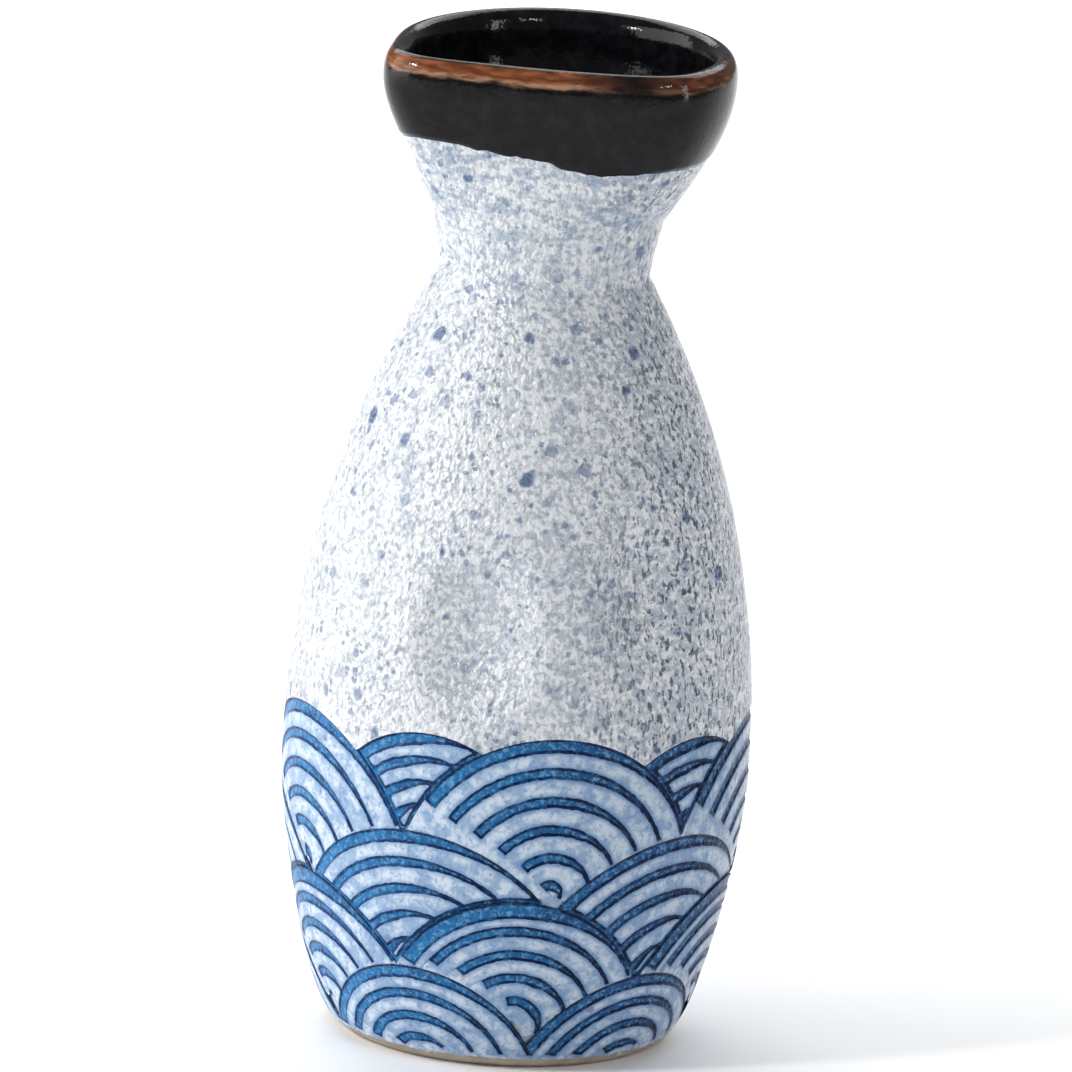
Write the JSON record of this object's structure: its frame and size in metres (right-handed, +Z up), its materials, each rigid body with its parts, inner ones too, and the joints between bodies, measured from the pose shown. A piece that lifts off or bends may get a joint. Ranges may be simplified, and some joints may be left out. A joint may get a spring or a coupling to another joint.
{
  "type": "sake bottle",
  "caption": "Stoneware sake bottle with a waisted neck, a squeezed pouring mouth, a dark glazed collar and a blue wave band.",
  "frame": {"origin": "centre of the foot, on the surface that the bottle stands on", "axes": "+Z up the bottle's axis from the foot to the lip; -Y is the side with the pressed flat of the mouth"},
  "size_m": [0.07, 0.07, 0.15],
  "materials": {
    "stoneware": "bare fired stoneware, matt",
    "dark_glaze": "near-black gloss glaze that breaks to rust brown on the lip",
    "pale_glaze": "glossy pale glaze with blue speckles and a dimpled surface",
    "wave_glaze": "glossy pale glaze over cut wave lines filled with blue"
  },
  "bodies": {
    "root": {"clay_body": "stoneware", "lining_glaze": "dark_glaze", "body_glaze": "pale_glaze", "wave_band": "wave_glaze", "mouth_glaze": "dark_glaze"}
  },
  "joints": []
}
